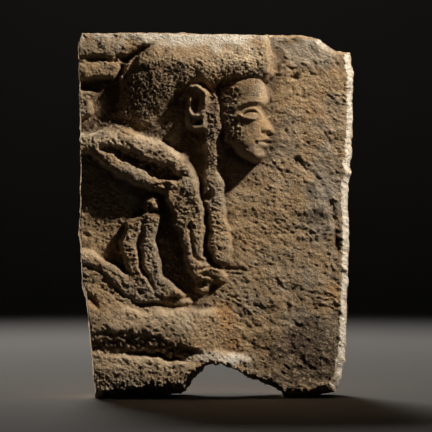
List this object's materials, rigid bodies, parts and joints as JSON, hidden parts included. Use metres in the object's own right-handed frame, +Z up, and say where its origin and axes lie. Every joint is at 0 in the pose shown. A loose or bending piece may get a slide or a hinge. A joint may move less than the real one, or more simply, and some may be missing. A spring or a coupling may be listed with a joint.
{
  "type": "stone relief panel",
  "caption": "Broken block of carved stone wall, a kneeling figure in high relief, with an arch broken out of its underside and a flat back.",
  "frame": {"origin": "middle of the bounding box's underside, where the two broken feet stand", "axes": "+Z up, +X to the right of someone who faces the carving, the carved face looks along -Y and the flat back along +Y"},
  "size_m": [0.301, 0.0878, 0.4],
  "materials": {
    "stone": "weathered buff sandstone, matt, with brown patina"
  },
  "bodies": {
    "root": {"relief_panel": "stone"}
  },
  "joints": []
}
